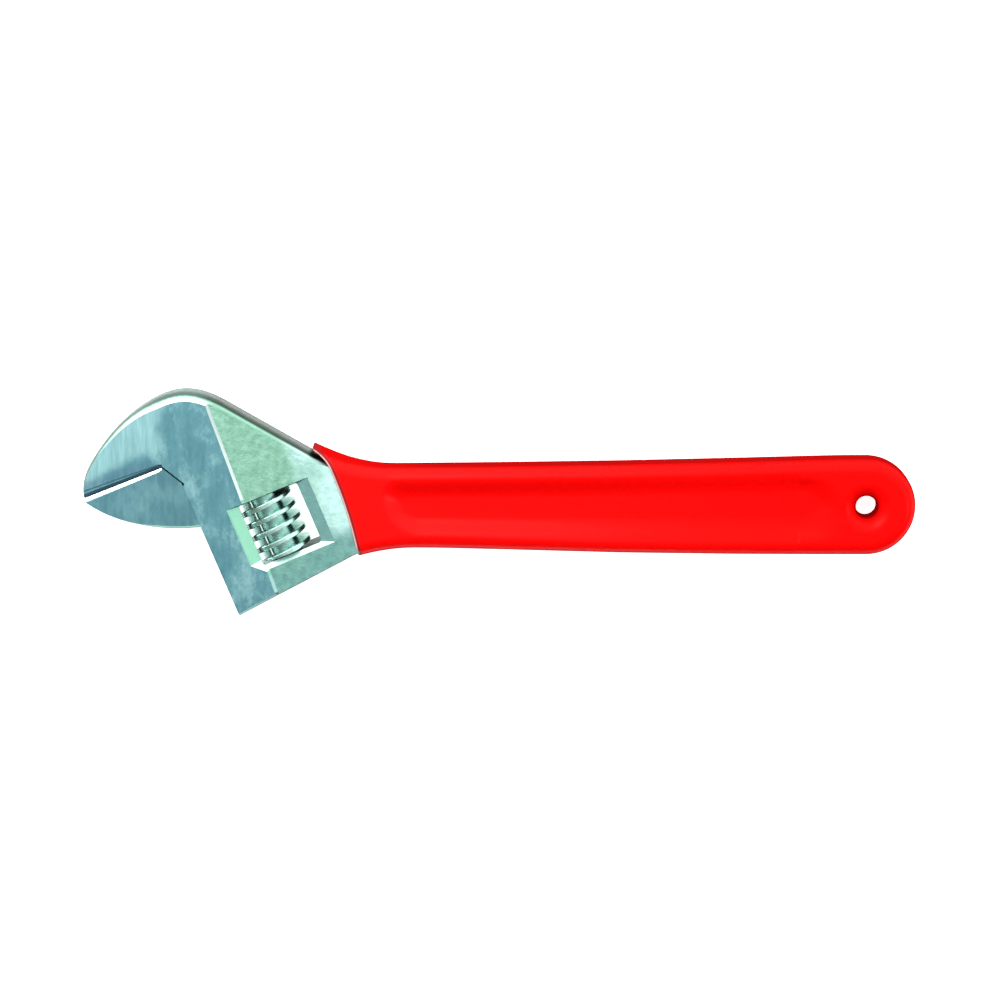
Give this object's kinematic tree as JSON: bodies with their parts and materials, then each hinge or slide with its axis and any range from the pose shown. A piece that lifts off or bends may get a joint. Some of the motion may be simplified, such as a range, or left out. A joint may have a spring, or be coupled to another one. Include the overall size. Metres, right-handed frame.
{
  "type": "adjustable wrench",
  "caption": "Adjustable wrench with angled jaws, worm-driven movable jaw and a dipped vinyl grip with a hang hole.",
  "frame": {"origin": "centre of the hang hole, halfway through the handle's thickness", "axes": "+X along the handle from the head to the butt, +Y towards the back of the fixed jaw, +Z out of the face that shows the worm's window"},
  "size_m": [0.2547, 0.0693, 0.017],
  "materials": {
    "satin_steel": "satin",
    "bright_steel": "turned",
    "red_vinyl": "gloss"
  },
  "bodies": {
    "wrench_body": {"forged_body": "satin_steel", "worm_pin": "bright_steel", "worm_spring": "bright_steel", "grip_sleeve": "red_vinyl"},
    "worm": {"worm_screw": "bright_steel"},
    "jaw": {"movable_jaw": "satin_steel"}
  },
  "joints": [
    {"name": "worm_spin", "type": "hinge", "parent": "wrench_body", "child": "worm", "pos_m": [-0.1811, -0.00521, 0], "axis": [-0.3827, 0.9239, 0], "range_deg": [0, 2700]},
    {"name": "jaw_slide", "type": "slide", "parent": "wrench_body", "child": "jaw", "axis": [0.3827, -0.9239, 0], "range_m": [0, 0.03]}
  ],
  "couplings": [
    {"joint": "worm_spin", "follows": "jaw_slide", "rad_per_m": 1570.8}
  ]
}
